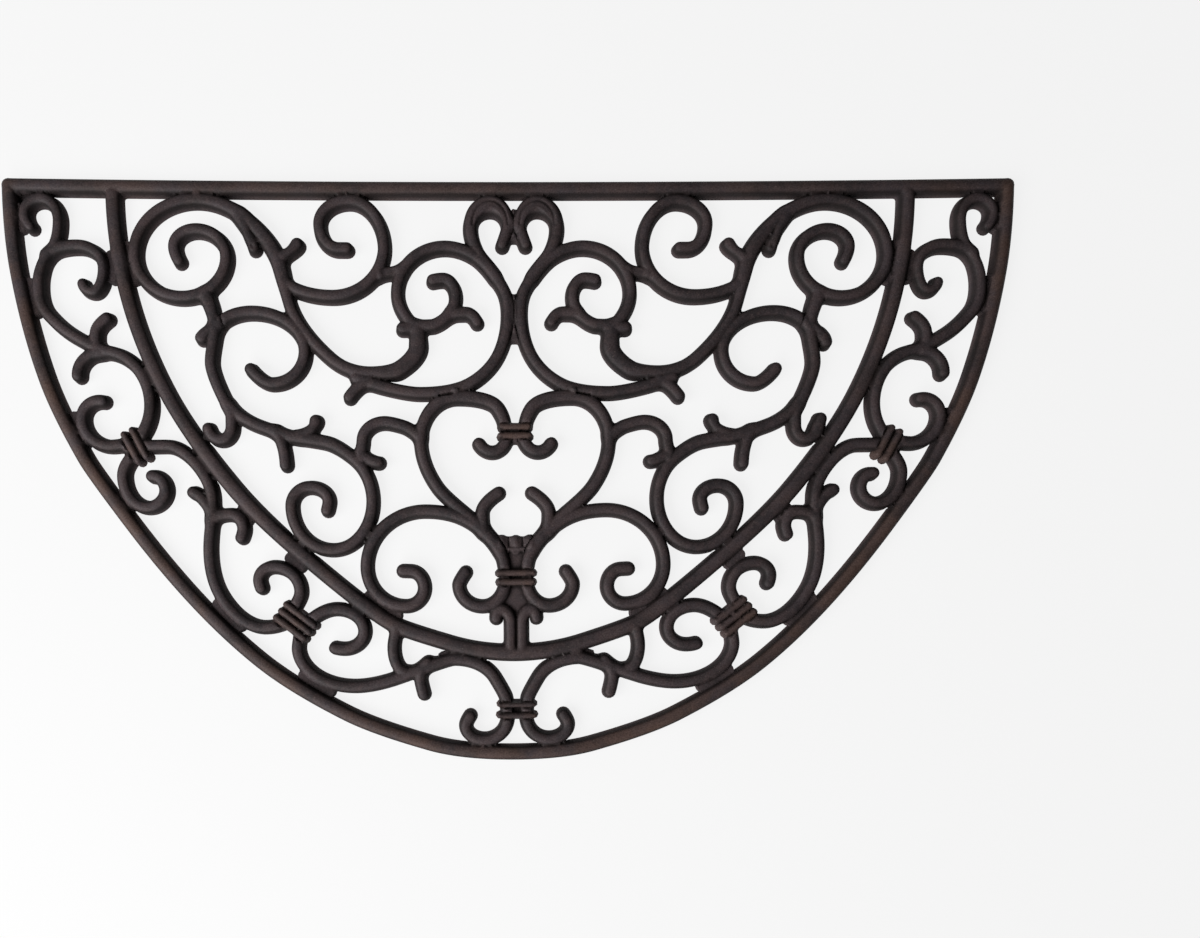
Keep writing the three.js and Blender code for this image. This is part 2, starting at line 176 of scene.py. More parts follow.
# Crest on the centre line with the long sweep that runs up to it, and the rings beside it.
CREST_BARS = [
    ["crest", BAR_WIDTH, [[118, 148, 165], [100, 154, 165], [70, 159.4, 180], [35, 153.2, 207],
      [14.5, 135, 237], [4.8, 99, 270], [7.2, 84, 290], [21.5, 62, 307], [32.4, 35, 270, 10.6],
      [17.5, 18.8, 180, 15], [4.3, 35, 90], [8.7, 48.3, 70]]],
    ["ring", BAR_WIDTH, [[73, 109, 180], [60, 108.5, 200], [43.6, 87, 270], [53, 74, 0], [60.5, 75, 15]]],
    ["ring_back", BAR_WIDTH, [[14, 72, 305], [51.5, 50, 0], [87, 84, 90], [74, 109, 140]]],
    ["stub_ring", BAR_WIDTH, [[47, 100, 190], [36, 99.5, 180], [27.8, 106.3, 115]]],
    ["bridge", 8.8, [[84, 67, 20], [100, 71, 20]]],
    ["bud_ring", BAR_WIDTH, [[74, 110, 0], [83.3, 111, 0]]],
    ["sweep_tendril", BAR_WIDTH, [[108, 150, 20], [122.8, 162.2, 55]]],
]

# Scrollwork that fills the field under the arch.
FIELD_BARS = [
    ["c_scroll", BAR_WIDTH, [[167, 79, 150], [135, 86.8, 180], [96.5, 50, 270], [122, 15.7, 0],
      [144.2, 33, 90], [130, 51.3, 180], [124, 51.3, 180]]],
    ["volute", BAR_WIDTH, [[72, 112, 90, 12.6], [71.8, 124, 90, 14], [86, 141.5, 32, 13],
      [107, 144.2, 0, 10.4], [138, 132, 318], [167.5, 90, 285], [173.5, 65, 285, 12.4], [200, 28, 322, 11.6],
      [235, 15.7, 0], [280.2, 56, 90], [246, 87.8, 180], [213, 58, 270], [235, 37.7, 0],
      [251.2, 50.5, 90], [247.8, 61, 120]]],
    ["bud_volute", BAR_WIDTH, [[203, 27, 112, 12], [197.4, 40, 108, 8.6], [192.6, 51.2, 100, 9.8]]],
    ["stub_volute", BAR_WIDTH, [[172, 58, 190], [166.5, 54.3, 215, 8.8], [160.8, 48.4, 238, 10.4]]],
    ["second", BAR_WIDTH, [[228.5, 86, 115, 12], [222, 108, 95], [224.8, 136, 90], [217, 160, 115],
      [210, 175, 112], [209.8, 184, 90], [217.5, 193.6, 0], [227, 185.4, 285]]],
    ["second_arc", BAR_WIDTH, [[222, 112, 240], [194.5, 98.6, 180], [155.6, 128, 90], [179.5, 151.8, 0],
      [195.6, 141.2, 310]]],
    ["bud_second", BAR_WIDTH, [[220, 108, 30], [226, 112, 38, 8.8], [231.6, 118, 55, 10.4]]],
    ["spine", BAR_WIDTH, [[212, 168, 130], [190, 183.2, 160], [165, 191.6, 172, 10.4],
      [140, 195.8, 165, 10.4], [120, 208, 140], [106.3, 240, 90], [136, 276, 0], [166.2, 243, 270],
      [152.5, 229, 180], [138.7, 240, 90], [140, 246.5, 75]]],
    ["stub_spine_up", BAR_WIDTH, [[160, 191, 200], [149.5, 184.5, 240, 8.8], [147.7, 180, 262, 10.4]]],
    ["stub_spine_down", BAR_WIDTH, [[178, 187, 130], [170.2, 212.6, 92]]],
    ["crook", BAR_WIDTH, [[114.5, 209, 290], [113.3, 195, 270], [97, 181, 180], [83, 184, 162],
      [71, 192, 140]]],
    ["stub_crook", BAR_WIDTH, [[113, 207, 165], [101.5, 211, 180]]],
]

# Heart on the centre line, with the cup, the foot and the stem under it.
HEART_BARS = [
    ["heart", BAR_WIDTH, [[8, 184, 270], [12.8, 170.8, 302, 10.8], [43, 162.3, 0, 10.8], [70.4, 195, 90],
      [58, 230, 125], [40, 247.5, 140], [20, 267.3, 129], [12, 278.5, 118], [8.6, 290, 97]]],
    ["collar_hook", BAR_WIDTH, [[6, 193, 80], [17, 203.6, 0], [27, 197.5, 300]]],
    ["lily", BAR_WIDTH, [[24, 264, 275], [24.8, 249, 268], [12.4, 234.4, 212]]],
    ["base", BAR_WIDTH, [[11.9, 278, 298], [21.5, 265.5, 316], [40, 253, 335], [68, 247.5, 0], [111, 289, 90],
      [82, 318.7, 180], [68.3, 305, 270], [79, 292.3, 0], [84.3, 292.1, 0]]],
    ["foot_hook", BAR_WIDTH, [[8, 300, 90], [25, 319.5, 0], [42.6, 303, 270], [37.5, 293.7, 235]]],
    ["stem", BAR_WIDTH, [[4.2, 352, 270], [4.2, 332, 270], [10, 322.5, 340], [15, 328.5, 90]]],
]

# Scrolls between the arch and the rim, from the corner down.
CORNER_BARS = [
    ["corner", BAR_WIDTH, [[278, 192, 230], [269.5, 168, 270], [300, 128.5, 352], [325, 117, 330],
      [345, 100, 310], [350.6, 80, 270], [341.9, 54.5, 232, 8.4], [335.8, 32, 270, 9], [348.5, 16.3, 0, 9.4],
      [360.4, 27, 90, 9], [356.3, 37, 135, 8.8]]],
    ["corner_lobe", BAR_WIDTH, [[345, 57, 225], [322, 50.5, 180], [303.2, 67, 90, 8.8], [311, 84.3, 0, 8.8],
      [318.3, 78.6, 280, 8.8]]],
    ["corner_tendril", BAR_WIDTH, [[309, 128, 270], [309, 115, 266], [301, 104, 215]]],
    ["corner_hook", BAR_WIDTH, [[306, 129, 5], [322.3, 146.4, 93]]],
    ["border_hook", BAR_WIDTH, [[286, 196, 15], [299, 198, 0], [319.5, 178, 270], [304.5, 165, 170]]],
    ["border_curl", BAR_WIDTH, [[278, 201, 40], [289.7, 220, 90], [272, 243.5, 180], [258.8, 231, 270],
      [268.6, 220.4, 0]]],
    ["border_spine", BAR_WIDTH, [[286, 199, 185], [258, 198, 180], [236, 212, 130], [224.5, 237, 93],
      [226.8, 275, 90], [219, 309, 120], [187, 333.3, 180], [172, 330, 205]]],
    ["border_tendril", BAR_WIDTH, [[225, 247, 300], [238.5, 232.6, 340]]],
    ["border_crook", BAR_WIDTH, [[225, 253, 225], [212, 249, 180], [201.7, 260, 90], [203.3, 266.4, 70]]],
]

# Scrolls in the low part of the border, down to the centre line.
LOW_BARS = [
    ["low_hook", BAR_WIDTH, [[166, 322, 255], [160, 307, 270], [180, 288.3, 0], [190.4, 298, 90],
      [189, 304, 110]]],
    ["low_curl", BAR_WIDTH, [[157, 332, 225], [134, 320.3, 180], [113, 337, 90], [128, 350.2, 0],
      [134.8, 349.3, 345]]],
    ["low_spine", BAR_WIDTH, [[161, 340, 80], [162.2, 350, 95], [120, 378.3, 180], [85, 371, 200],
      [47, 358.7, 180], [16.1, 373.4, 121], [8, 389, 95], [7.2, 405, 84], [24, 419.6, 0],
      [38.2, 409, 270], [34.8, 401.6, 235]]],
    ["low_link", BAR_WIDTH, [[83, 368, 340], [91.4, 350, 270], [89, 336, 255]]],
    ["low_tendril", BAR_WIDTH, [[66, 361, 40], [71.5, 374, 90], [69.2, 384.8, 105]]],
]

# Where two scrolls of the right half reach further than those of the left.
RIGHT_BARS = [
    ["second_reach", BAR_WIDTH, [[226, 188, 287], [229.2, 178.6, 288]]],
    ["bud_reach", BAR_WIDTH, [[229, 116, 55], [233.6, 121.6, 50]]],
]

# Low flat webs that join bars lying side by side.
WEBS = [
    ["web_rim_a", 9, [[358.5, 78, 98], [354, 98, 105]]],
    ["web_arch_a", 8, [[298.5, 57, 93], [296.7, 73.6, 97]]],
    ["web_arch_b", 8, [[286.5, 50, 95], [281.6, 74, 105]]],
    ["web_corner", 7, [[366, 22, 92], [364, 37, 92]]],
    ["web_rim_b", 8, [[326, 176, 110], [319, 195, 118]]],
    ["web_rim_c", 9, [[292.3, 236, 125], [287, 242, 125]]],
    ["web_rim_d", 10, [[221, 316, 133], [206, 331.5, 135]]],
    ["web_rim_e", 9, [[158.5, 369.8, 148], [139.6, 381.9, 150]]],
    ["web_arch_c", 9, [[109.5, 311.5, 143], [89.6, 325.5, 143]]],
    ["web_arch_d", 9, [[167.8, 282, 137], [160.5, 288.3, 139]]],
    ["web_arch_e", 8, [[204, 247, 130], [199, 252.8, 130]]],
    ["web_arch_f", 5, [[46, 353.4, 5], [57, 355.3, 15, 2.4]]],
]

# The thin floor of the pit in the left top corner.
LEFT_WEBS = [
    ["pit_left_corner", 10, [[361, 15, 0], [365, 17, 0]]],
]

# Ribs of the collars that tie bars together.
# Columns: name, centre out, centre down, heading, length, width.
COLLAR_RIBS = [
    ["heart_rib_a", 0, 185.2, 0, 25.5, 5.4],
    ["heart_rib_b", 0, 191.8, 0, 27, 5.6],
    ["foot_rib_a", 0, 294.6, 0, 31, 5.4],
    ["foot_rib_b", 0, 301.4, 0, 30.5, 5.6],
    ["bottom_rib_a", 0, 393.2, 0, 30, 4.6],
    ["bottom_rib_b", 0, 401.4, 0, 31, 5],
    ["border_rib_a", 277, 196.5, 118, 28, 6.2],
    ["border_rib_b", 283, 199.8, 118, 28, 6.2],
    ["low_rib_a", 159.7, 324.4, 322, 32, 6.2],
    ["low_rib_b", 163.5, 329.2, 322, 32, 6.2],
    ["low_rib_c", 167.3, 334, 322, 32, 6.2],
]

# Flat plates on the centre line, as rows of depth and half width.
# Columns: name, height, rows of [down, half width].
PLATES = [
    ["crest_link", PLATE_HEIGHT, [[21.5, 1.2], [27, 2.6], [36, 5], [45.5, 6]]],
    ["crest_knot", PLATE_HEIGHT, [[85.5, 1.8], [103, 3], [121, 4]]],
    ["heart_link", PLATE_HEIGHT, [[182, 10], [197, 10]]],
    ["cup", PLATE_HEIGHT, [[267.4, 19], [274, 15.5], [278.6, 12.8]]],
    ["cup_foot", LOW_PLATE_HEIGHT, [[278, 13], [286, 10], [300, 8.5]]],
    ["foot_plate", LOW_PLATE_HEIGHT, [[299, 8.5], [306, 10], [314, 12], [321, 9], [325, 5]]],
    ["bottom_link", LOW_PLATE_HEIGHT, [[390.6, 8], [404.2, 8]]],
]

# Petals that scallop the top edge of the cup: [out, down, heading, width].
CUP_PETALS = [
    ["petal_mid", 8, [[0, 271, 90, 9.5], [0, 277, 90, 8]]],
    ["petal_side", 8, [[10.4, 271, 97, 10], [8.4, 277, 100, 8]]],
]


# Grooves and ridges pressed into the surface. A minus lift is a groove.
# Columns: name, width, lift, stations [out, down, heading].
FOLDS = [
    ["head_groove", 3.4, -0.9, [[30.5, 34, 270], [17.5, 16.6, 180], [4.4, 34, 90]]],
    ["head_ridge", 3.2, 0.5, [[26.2, 34, 270], [17.5, 21.8, 180], [8.4, 34, 90]]],
    ["knot_top", 6, 1.6, [[0, 88.5, 90], [0, 91, 90]]],
    ["knot_fill", 4.4, 1.6, [[0, 88, 90], [0, 111, 90]]],
    ["hook_fill", 3.6, 0.8, [[0, 29, 90], [0, 42, 90]]],
    ["knot_end", 5.4, 1.4, [[0, 111, 90], [0, 113.5, 90]]],
    ["heart_nodule", 5, 1.7, [[43, 158, 0], [44.4, 158.2, 0]]],
    ["heart_crease", 2.6, -1.8, [[46.5, 160.2, 5], [56, 161.6, 5]]],
    ["petal_mid_dome", 9, 1.3, [[0, 270.6, 90], [0, 272.6, 90]]],
    ["petal_side_dome", 9, 1.3, [[10.4, 271, 97], [10.1, 273, 97]]],
    ["petal_groove", 2, -1.0, [[5.2, 266.5, 90], [5, 274.5, 95]]],
    ["swag", 2.6, 0.9, [[0, 276.6, 0], [6, 276.4, 355], [11.5, 273.2, 315]]],
    ["volute_pit", 4.4, -1.0, [[193, 50.4, 90], [192.8, 51.2, 90]]],
    ["stem_crease", 2.0, -0.7, [[0, 322, 90], [0, 352, 90]]],
    ["bridge_dip", 10, -1.6, [[90.5, 68.4, 20], [95, 69.7, 20]]],
    ["second_seam", 2.4, -1.4, [[219, 97, 110], [214, 112, 100]]],
]


def laid(points, on_rim):
    """Where points (out, down) of the even pattern lie on the real mat, as (x, y) in millimetres.

    x = out + side shift * fall + swing * depth, y = zero line - down - bow - sag, where fall is
    1 - (out / half width)^2 and depth is down / mat depth. The rim has no side shift or sag.
    """
    out, down = points[..., 0], points[..., 1]
    inner = 0 if on_rim else 1
    fall = 1 - (out / HALF_WIDTH) ** 2
    depth = down / DEPTH
    right = np.maximum(out, 0) / HALF_WIDTH
    near = ((out - SAG_CENTRE[0]) / SAG_REACH[0]) ** 2 + ((down - SAG_CENTRE[1]) / SAG_REACH[1]) ** 2
    pinch = (1 - inner) * RIM_PINCH * np.sin(np.pi * depth) * right**2
    x = out + inner * SIDE_SHIFT * fall + SWING * depth - pinch
    sag = inner * (SAG * np.exp(-near) - out * depth * LIFT)
    y = ZERO_LINE - (down + TOP_BOW * fall * (1 - depth) + sag)
    return np.stack([x, y], axis=-1)


def stretch(start, end):
    """The four control points of the cubic between two stations.

    Each handle reaches (4/3) tan(turn/4) / tan(turn/2) of the way to the point where the two
    tangents meet, which makes an even turn a circle, or a third of the chord where they don't.
    """
    first, last = np.array(start[:2], float), np.array(end[:2], float)
    leave, arrive = heading(start[2]), heading(end[2])
    chord = last - first
    ahead = back = math.hypot(*chord) / 3
    turn = (end[2] - start[2] + 180) % 360 - 180
    if abs(math.sin(math.radians(turn))) > 0.05:
        cross = leave[0] * arrive[1] - leave[1] * arrive[0]
        to_meet = (chord[0] * arrive[1] - chord[1] * arrive[0]) / cross
        from_meet = (leave[0] * chord[1] - leave[1] * chord[0]) / cross
        if min(to_meet, from_meet) > 0 and max(to_meet, from_meet) < 9 * ahead:
            half = math.radians(abs(turn)) / 2
            share = 4 / 3 * math.tan(half / 2) / math.tan(half)
            ahead, back = share * to_meet, share * from_meet
    return first, first + leave * ahead, last - arrive * back, last


def heading(turn):
    """Unit step (out, down) in the direction of a heading in degrees: its cosine and sine."""
    return np.array([math.cos(math.radians(turn)), math.sin(math.radians(turn))])


def centre_line(stations, width):
    """Points along a bar's centre line and its half width there, eased between stations."""
    points, halves = [], []
    for start, end in zip(stations[:-1], stations[1:]):
        a, b, c, d = stretch(start, end)
        steps = max(4, math.ceil(math.hypot(*(d - a)) * 1.2 / LINE_STEP))
        t = np.linspace(0, 1, steps + 1)[:-1, None]
        points.append((1 - t) ** 3 * a + 3 * t * (1 - t) ** 2 * b + 3 * t**2 * (1 - t) * c + t**3 * d)
        first, last = [station[3] if len(station) > 3 else width for station in (start, end)]
        halves.append((first + (last - first) * t[:, 0] ** 2 * (3 - 2 * t[:, 0])) / 2)
    points.append(np.array([stations[-1][:2]], float))
    halves.append([last / 2])
    return np.concatenate(points), np.concatenate(halves)


def across(stations):
    """The stations of a bar that starts on the centre line, with its mirror image before them."""
    far = [[-out, down, 360 - turn, *rest] for out, down, turn, *rest in reversed(stations[1:])]
    return far + stations


def both_sides(stations, width):
    """The bar's centre line and half widths on the left and on the right of the mat."""
    points, halves = centre_line(stations, width)
    return [(laid(points * [side, 1], False), halves) for side in (-1, 1)]


def bar_lines():
    """Centre line and half widths of every bar."""
    lines = []
    for name, width, stations in BORDER_BARS:
        points, halves = centre_line(across(stations), width)
        lines.append((laid(points, name in RIM_BARS), halves))
    for table in (CREST_BARS, FIELD_BARS, HEART_BARS, CORNER_BARS, LOW_BARS):
        for name, width, stations in table:
            lines += both_sides(stations, width)
    for name, width, stations in RIGHT_BARS:
        lines += both_sides(stations, width)[1:]
    return lines


def rib_lines():
    """Centre line and half widths of every collar rib."""
    lines = []
    for name, out, down, turn, length, width in COLLAR_RIBS:
        reach = heading(turn) * (length - width) / 2
        ends = [[out - reach[0], down - reach[1], turn], [out + reach[0], down + reach[1], turn]]
        pair = both_sides(ends, width)
        lines += pair if out else pair[1:]
    return lines


def fold_lines():
    """Centre line, half widths and lift of every groove and ridge."""
    lines = []
    for name, width, lift, stations in FOLDS:
        pair = both_sides(stations, width)
        lines += [(*line, lift) for line in (pair if stations[-1][0] else pair[1:])]
    return lines


# Samples of the fields, over the mat's plan.
COLUMNS = np.arange(-384, 384 + CELL, CELL)
ROWS = np.arange(-224, 224 + CELL, CELL)


def blank(value):
    """A field that has the same value at every sample."""
    return np.full((ROWS.size, COLUMNS.size), value, float)


def window(points, reach):
    """First and last row, then first and last column, of the samples within reach of the points."""
    low, high = points.min(axis=0) - reach, points.max(axis=0) + reach
    left, right = [int((edge - COLUMNS[0]) / CELL) for edge in (low[0], high[0])]
    bottom, top = [int((edge - ROWS[0]) / CELL) for edge in (low[1], high[1])]
    return bottom, top + 2, left, right + 2


def line_fields(points, halves):
    """Window, depth and share of one bar: depth = half width - distance to the centre line, and
    share = 1 - distance / (half width - draft), which is 0 at the shoulder and 1 on the line."""
    bottom, top, left, right = window(points, halves.max() + REACH)
    depth = np.full((top - bottom, right - left), float(FAR_OUTSIDE))
    share = depth.copy()
    for first in range(0, len(points) - 1, LINE_PART):
        part, half = points[first : first + LINE_PART + 1], halves[first : first + LINE_PART + 1]
        low, high, near, far = window(part, half.max() + REACH)
        x = COLUMNS[near:far][None, :, None] - part[:-1, 0]
        y = ROWS[low:high][:, None, None] - part[:-1, 1]
        step = np.diff(part, axis=0)
        along = np.clip((x * step[:, 0] + y * step[:, 1]) / (step**2).sum(axis=1), 0, 1)
        distance = np.hypot(x - along * step[:, 0], y - along * step[:, 1])
        wide = half[:-1] + np.diff(half) * along
        own = slice(low - bottom, high - bottom), slice(near - left, far - left)
        depth[own] = np.maximum(depth[own], (wide - distance).max(axis=2))
        share[own] = np.maximum(share[own], (1 - distance / (wide - DRAFT)).max(axis=2))
    return (slice(bottom, top), slice(left, right)), depth, share


def smooth_max(a, b, reach):
    """max(a, b) + (reach - |a - b|)^2 / (4 reach) where the two are closer than reach."""
    near = np.maximum(reach - np.abs(a - b), 0) * (np.minimum(a, b) > -REACH)
    return np.maximum(a, b) + near**2 / (4 * reach)


def crown(share):
    """Height share of a rounded crown: (1 - (1 - share)^2)^power from shoulder to centre line."""
    return (1 - (1 - np.clip(share, 0, 1)) ** 2) ** CROWN_POWER


def joined_fields(lines, fillets):
    """Joined depth and share of the lines, each with its fillet, and where crowns meet in a crease."""
    depth, share, crease = blank(FAR_OUTSIDE), blank(FAR_OUTSIDE), blank(0)
    for (points, halves), fillet in zip(lines, fillets):
        area, own, part = line_fields(points, halves)
        both = np.minimum(share[area], part) > 0.05
        crease[area] += both & (np.abs(share[area] - part) < 2 * CREASE)
        depth[area] = smooth_max(depth[area], own, fillet)
        share[area] = smooth_max(share[area], part, CREASE)
    return depth, share, crease > 0


def plate_depth(rows):
    """Depth in a plate on the centre line: the least of the distances to its sides and ends."""
    x, y = np.meshgrid(COLUMNS, ROWS)
    down = (ZERO_LINE - y - TOP_BOW) / (1 - TOP_BOW / DEPTH)
    middle = SIDE_SHIFT + SWING * down / DEPTH
    downs, halves = np.array(rows, float).T
    side = np.interp(down, downs, halves) - np.abs(x - middle)
    return np.minimum(side, np.minimum(down - downs[0], downs[-1] - down))


def low_fields():
    """Joined depth of webs, plates and petals, their height, and the depth of the raised ones.

    A raised plate ramps up from the low plate's height over its first part millimetre. The highest
    part that covers a sample gives its height, or the nearest one where none covers it.
    """
    joined, raised = blank(FAR_OUTSIDE), blank(FAR_OUTSIDE)
    height, best = blank(WALL_HEIGHT), blank(-2.5)
    whole = slice(0, ROWS.size), slice(0, COLUMNS.size)
    parts = [(whole, plate_depth(rows), level) for name, level, rows in PLATES]
    for table, level in ((WEBS, WEB_HEIGHT), (LEFT_WEBS, PIT_HEIGHT), (CUP_PETALS, PLATE_HEIGHT)):
        for name, width, stations in table:
            pair = both_sides(stations, width)
            lines = pair[:1] if table is LEFT_WEBS else pair
            parts += [(*line_fields(*line)[:2], level) for line in lines]
    for area, own, level in parts:
        base = min(level, LOW_PLATE_HEIGHT)
        top = base + (level - base) * np.clip(own / RAMP, 0, 1)
        score = np.where(own > 0, 100 + top, own)
        height[area] = np.where(score > best[area], top, height[area])
        best[area] = np.maximum(score, best[area])
        joined[area] = np.maximum(joined[area], own)
        if level > LOW_PLATE_HEIGHT:
            raised[area] = np.maximum(raised[area], own)
    return joined, height, raised


def fold_field():
    """Lift of the grooves and ridges: lift * (1 - (distance / half width)^2)^2, the largest of all."""
    field = blank(0)
    for points, halves, lift in fold_lines():
        area, own, _ = line_fields(points, halves)
        share = np.clip(own / halves.max(), 0, 1)
        rise = lift * (1 - (1 - share) ** 2) ** 2
        field[area] = np.where(np.abs(rise) > np.abs(field[area]), rise, field[area])
    return field


def blurred(field, spread):
    """The field under a round bell curve, by the product of its Fourier transforms."""
    waves = [np.exp(-2 * (np.pi * spread * np.fft.fftfreq(count, CELL)) ** 2) for count in field.shape]
    return np.real(np.fft.ifft2(np.fft.fft2(field) * waves[0][:, None] * waves[1]))


def surface(bars, share, ribs, rib_share, low_height, folds):
    """Height of the mat's top from its fields: crowned bars over webs and plates, with ribs across.

    Beside a rib and under it the bars are cut down to the collar's wall.
    """
    bar_z = WALL_HEIGHT + CROWN_RISE * crown(share)
    z = low_height + (bar_z - low_height) * np.clip(bars / DRAFT, 0, 1) + folds
    z -= np.maximum(z - COLLAR_WALL, 0) * np.clip((ribs + APRON_START) / APRON_WIDTH, 0, 1)
    rib_z = COLLAR_WALL + COLLAR_RISE * crown(rib_share)
    return z + np.maximum(rib_z - z, 0) * np.clip(ribs / DRAFT, 0, 1)


def sample(field, points):
    """Bilinear value of a field at points (x, y)."""
    i = (points[:, 0] - COLUMNS[0]) / CELL
    j = (points[:, 1] - ROWS[0]) / CELL
    left, low = i.astype(int), j.astype(int)
    u, v = i - left, j - low
    near = field[low, left] * (1 - u) + field[low, left + 1] * u
    far = field[low + 1, left] * (1 - u) + field[low + 1, left + 1] * u
    return near * (1 - v) + far * v


def crossings(field, level):
    """Points where the field crosses the level between two samples, and which one follows each.

    A walk round a cell goes from inside to outside across one side and comes back across another:
    the cell's segment joins the first to the second, with the inside on its left.
    """
    inside = field > level
    total, wide = field.size, COLUMNS.size
    number = np.arange(total).reshape(field.shape)
    corner = [inside[:-1, :-1], inside[:-1, 1:], inside[1:, 1:], inside[1:, :-1]]
    below, above = number[:-1], number[1:]
    side = np.array([below[:, :-1], total + below[:, 1:], above[:, :-1], total + below[:, :-1]])
    leave = np.array([corner[k] & ~corner[(k + 1) % 4] for k in range(4)])
    enter = np.array([~corner[k] & corner[(k + 1) % 4] for k in range(4)])
    single = leave.sum(axis=0) == 1
    starts = [(side * leave).sum(axis=0)[single]]
    ends = [(side * enter).sum(axis=0)[single]]
    middle = (field[:-1, :-1] + field[:-1, 1:] + field[1:, 1:] + field[1:, :-1]) / 4 > level
    for k in range(4):
        saddle = (leave.sum(axis=0) == 2) & leave[k]
        starts.append(side[k][saddle])
        ends.append(np.where(middle, side[(k + 1) % 4], side[(k + 3) % 4])[saddle])
    starts, ends = np.concatenate(starts), np.concatenate(ends)
    ends = ends[np.argsort(starts)]
    starts = np.sort(starts)
    follow = np.searchsorted(starts, ends)
    flat = field.ravel()
    base = starts % total
    other = base + np.where(starts < total, 1, wide)
    share = CELL * (level - flat[base]) / (flat[other] - flat[base])
    level_across = starts < total
    x = COLUMNS[base % wide] + share * level_across
    y = ROWS[base // wide] + share * ~level_across
    return np.stack([x, y], axis=1), follow


def contour(field, level, spacing):
    """Closed loops where the field crosses the level, evenly spaced, with the inside on the left.

    Crossings chain into loops by doubling jumps: they find the least number in each loop, and then
    how many crossings are left to the loop's last one.
    """
    points, follow = crossings(field, level)
    count = len(points)
    loop, jump = np.arange(count), follow
    for _ in range(count.bit_length()):
        loop, jump = np.minimum(loop, loop[jump]), jump[jump]
    last = loop[follow] == follow
    jump, left = np.where(last, np.arange(count), follow), np.where(last, 0, 1)
    for _ in range(count.bit_length()):
        left, jump = left + left[jump], jump[jump]
    order = np.lexsort((-left, loop))
    loops = []
    for ring in np.split(points[order], np.flatnonzero(np.diff(loop[order])) + 1):
        closed = np.vstack([ring, ring[:1]])
        run = np.concatenate([[0], np.cumsum(np.hypot(*np.diff(closed, axis=0).T))])
        steps = round(run[-1] / spacing)
        if steps > SHORTEST_LOOP:
            at = np.arange(steps) * run[-1] / steps
            loops.append(np.stack([np.interp(at, run, closed[:, k]) for k in (0, 1)], axis=1))
    return loops


def along(field, level, spacing, where, least):
    """Contour points where another field is over a value."""
    points = np.concatenate(contour(field, level, spacing))
    return points[sample(where, points) > least]


def grid(step, wanted):
    """Points of a staggered grid, with rows 0.87 of a step apart, where the mask is true."""
    across_steps = np.arange(COLUMNS[0] + 2, COLUMNS[-1] - 2, step)
    up_steps = np.arange(ROWS[0] + 2, ROWS[-1] - 2, step * 0.87)
    x, y = np.meshgrid(across_steps, up_steps)
    x = x + step / 2 * (np.arange(len(x)) % 2)[:, None]
    points = np.stack([x.ravel(), y.ravel()], axis=1)
    return points[sample(wanted.astype(float), points) > 0.5]


def spaced(sets):
    """All sets in one array, each point left out where an earlier set has one in a cell beside it."""
    shape = int((ROWS[-1] - ROWS[0]) / NEAREST) + 3, int((COLUMNS[-1] - COLUMNS[0]) / NEAREST) + 3
    taken, kept = np.zeros(shape, bool), []
    for points in sets:
        column, row = ((points - [COLUMNS[0], ROWS[0]]) / NEAREST).astype(int).T + 1
        free = ~taken[row, column]
        points, column, row = points[free], column[free], row[free]
        for across_cells in (-1, 0, 1):
            for up_cells in (-1, 0, 1):
                taken[row + up_cells, column + across_cells] = True
        kept.append(points)
    return np.concatenate(kept)


def triangulated(points, edges):
    """Triangles inside the directed edges, counter-clockwise, with their points.

    Triangles on an edge's left are inside, and so are all that touch one of them across a side that
    isn't itself an edge.
    """
    result = delaunay_2d_cdt(points.tolist(), edges.tolist(), [], 1, 1e-7, False)
    flat, faces = np.array(result[0]), np.array(result[2])
    a, b, c = (flat[faces[:, k]] for k in range(3))
    turned = (b[:, 0] - a[:, 0]) * (c[:, 1] - a[:, 1]) < (b[:, 1] - a[:, 1]) * (c[:, 0] - a[:, 0])
    faces[turned] = faces[turned][:, ::-1]
    outline = edges[:, 0] * len(flat) + edges[:, 1]
    ahead = np.roll(faces, -1, axis=1)
    sides, backs = faces * len(flat) + ahead, ahead * len(flat) + faces
    inside = np.isin(sides, outline).any(axis=1)
    shared = ~np.isin(sides, outline) & ~np.isin(backs, outline)
    count = 0
    while count < inside.sum():
        count = inside.sum()
        inside |= (np.isin(backs, sides[inside]) & shared).any(axis=1)
    return flat, faces[inside]


def downhill(solid, points):
    """Points moved out by draft and flare down the field, halting where it rises again."""
    for _ in range(FOOT_STEPS):
        reach = (DRAFT + FLARE) / FOOT_STEPS
        slope = np.stack([sample(solid, points + [0.3, 0]) - sample(solid, points - [0.3, 0]),
                          sample(solid, points + [0, 0.3]) - sample(solid, points - [0, 0.3])], axis=1)
        out = points - reach * slope / np.maximum(np.hypot(*slope.T), 0.1)[:, None]
        lower = sample(solid, out) < sample(solid, points) - 0.3 * reach
        points = np.where(lower[:, None], out, points)
    return points


def ring_edges(loops):
    """Edges round each loop, numbered through all loops."""
    numbers = np.split(np.arange(sum(map(len, loops))), np.cumsum([len(loop) for loop in loops])[:-1])
    return np.concatenate([np.stack([loop, np.roll(loop, -1)], axis=1) for loop in numbers])


